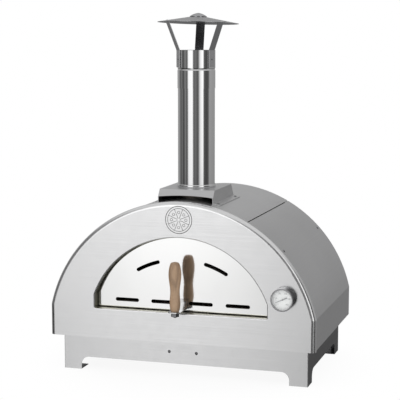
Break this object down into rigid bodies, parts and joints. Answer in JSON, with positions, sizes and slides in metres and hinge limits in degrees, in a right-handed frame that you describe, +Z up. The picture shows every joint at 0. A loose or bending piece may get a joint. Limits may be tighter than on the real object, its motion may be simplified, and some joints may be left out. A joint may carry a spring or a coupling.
{
  "type": "wood fired pizza oven",
  "caption": "Tabletop wood-fired pizza oven: arched stainless body on a folded base, lift-out door with a wooden grip, dial thermometer and a round flue with a cone cap.",
  "frame": {"origin": "centre of the whole object's footprint box, on the surface it stands on", "axes": "+X to the right seen from the front, the front with the door faces -Y, +Z up"},
  "size_m": [0.735, 0.5297, 0.9678],
  "materials": {
    "base_steel": "brushed stainless sheet",
    "screw_steel": "zinc-plated steel fasteners",
    "facade_steel": "satin brushed stainless",
    "shell_steel": "satin brushed stainless",
    "inner_steel": "heat-darkened steel",
    "tinted_steel": "stainless with an olive heat tint",
    "refractory": "rough refractory clay",
    "insulation": "ceramic fibre",
    "hood_steel": "satin brushed stainless",
    "flue_steel": "polished stainless tube",
    "cap_steel": "stainless sheet",
    "door_mirror": "mirror-polished stainless",
    "door_inner_steel": "heat-darkened steel",
    "bracket_steel": "bright stainless strip",
    "grip_wood": "turned hardwood, oiled",
    "gauge_case_steel": "drawn stainless cup",
    "gauge_chrome": "polished ring",
    "gauge_glass": "clear glass",
    "dial_white": "white enamel with a printed scale",
    "needle_black": "black paint",
    "spindle_brass": "turned brass and bimetal strip"
  },
  "bodies": {
    "oven": {"base_channel": "base_steel", "base_front_panel": "base_steel", "base_left_panel": "base_steel", "base_rear_panel": "base_steel", "base_right_panel": "base_steel", "base_screws": "screw_steel", "chamber_rear_wall": "inner_steel", "facade": "facade_steel", "floor_insulation": "insulation", "floor_tray": "base_steel", "flue_ring": "flue_steel", "flue_throat": "inner_steel", "front_bulkhead": "inner_steel", "front_insulation": "insulation", "gauge_bezel": "gauge_chrome", "gauge_case": "gauge_case_steel", "gauge_coil": "spindle_brass", "gauge_dial": "dial_white", "gauge_lens": "gauge_glass", "gauge_nut": "screw_steel", "gauge_stem": "gauge_case_steel", "hearth_tile_1": "refractory", "hearth_tile_2": "refractory", "hearth_tile_3": "refractory", "hearth_tile_4": "refractory", "hearth_tile_5": "refractory", "hearth_tile_6": "refractory", "hood_cover": "hood_steel", "hood_screws": "screw_steel", "inner_vault": "inner_steel", "mouth_frame": "tinted_steel", "rear_insulation": "insulation", "rear_panel": "shell_steel", "shell_left": "shell_steel", "shell_right": "shell_steel", "shell_screws": "screw_steel", "shell_top": "shell_steel", "vault_insulation": "insulation"},
    "door": {"door_panel": "door_mirror", "door_inner_panel": "door_inner_steel", "handle_bracket": "bracket_steel", "bracket_rivets": "screw_steel", "handle_grip": "grip_wood", "handle_stud": "screw_steel", "handle_washer": "screw_steel", "handle_nut": "screw_steel"},
    "needle": {"gauge_needle": "needle_black", "gauge_spindle": "spindle_brass"},
    "flue_pipe": {"flue_pipe": "flue_steel"},
    "flue_cap": {"cap_collar": "flue_steel", "cap_strap_1": "cap_steel", "cap_strap_2": "cap_steel", "cap_strap_3": "cap_steel", "cap_cone": "cap_steel", "cap_finial": "cap_steel", "cap_rivets": "screw_steel"}
  },
  "joints": [
    {"name": "door_pull", "type": "slide", "parent": "oven", "child": "door", "axis": [0, -1, 0], "range_m": [0, 0.15]},
    {"name": "needle_swing", "type": "hinge", "parent": "oven", "child": "needle", "pos_m": [0.2835, -0.232, 0.2383], "axis": [0, 1, 0], "range_deg": [-20, 250]},
    {"name": "pipe_lift", "type": "slide", "parent": "oven", "child": "flue_pipe", "axis": [0, 0, 1], "range_m": [0, 0.08]},
    {"name": "cap_lift", "type": "slide", "parent": "flue_pipe", "child": "flue_cap", "axis": [0, 0, 1], "range_m": [0, 0.08]}
  ]
}
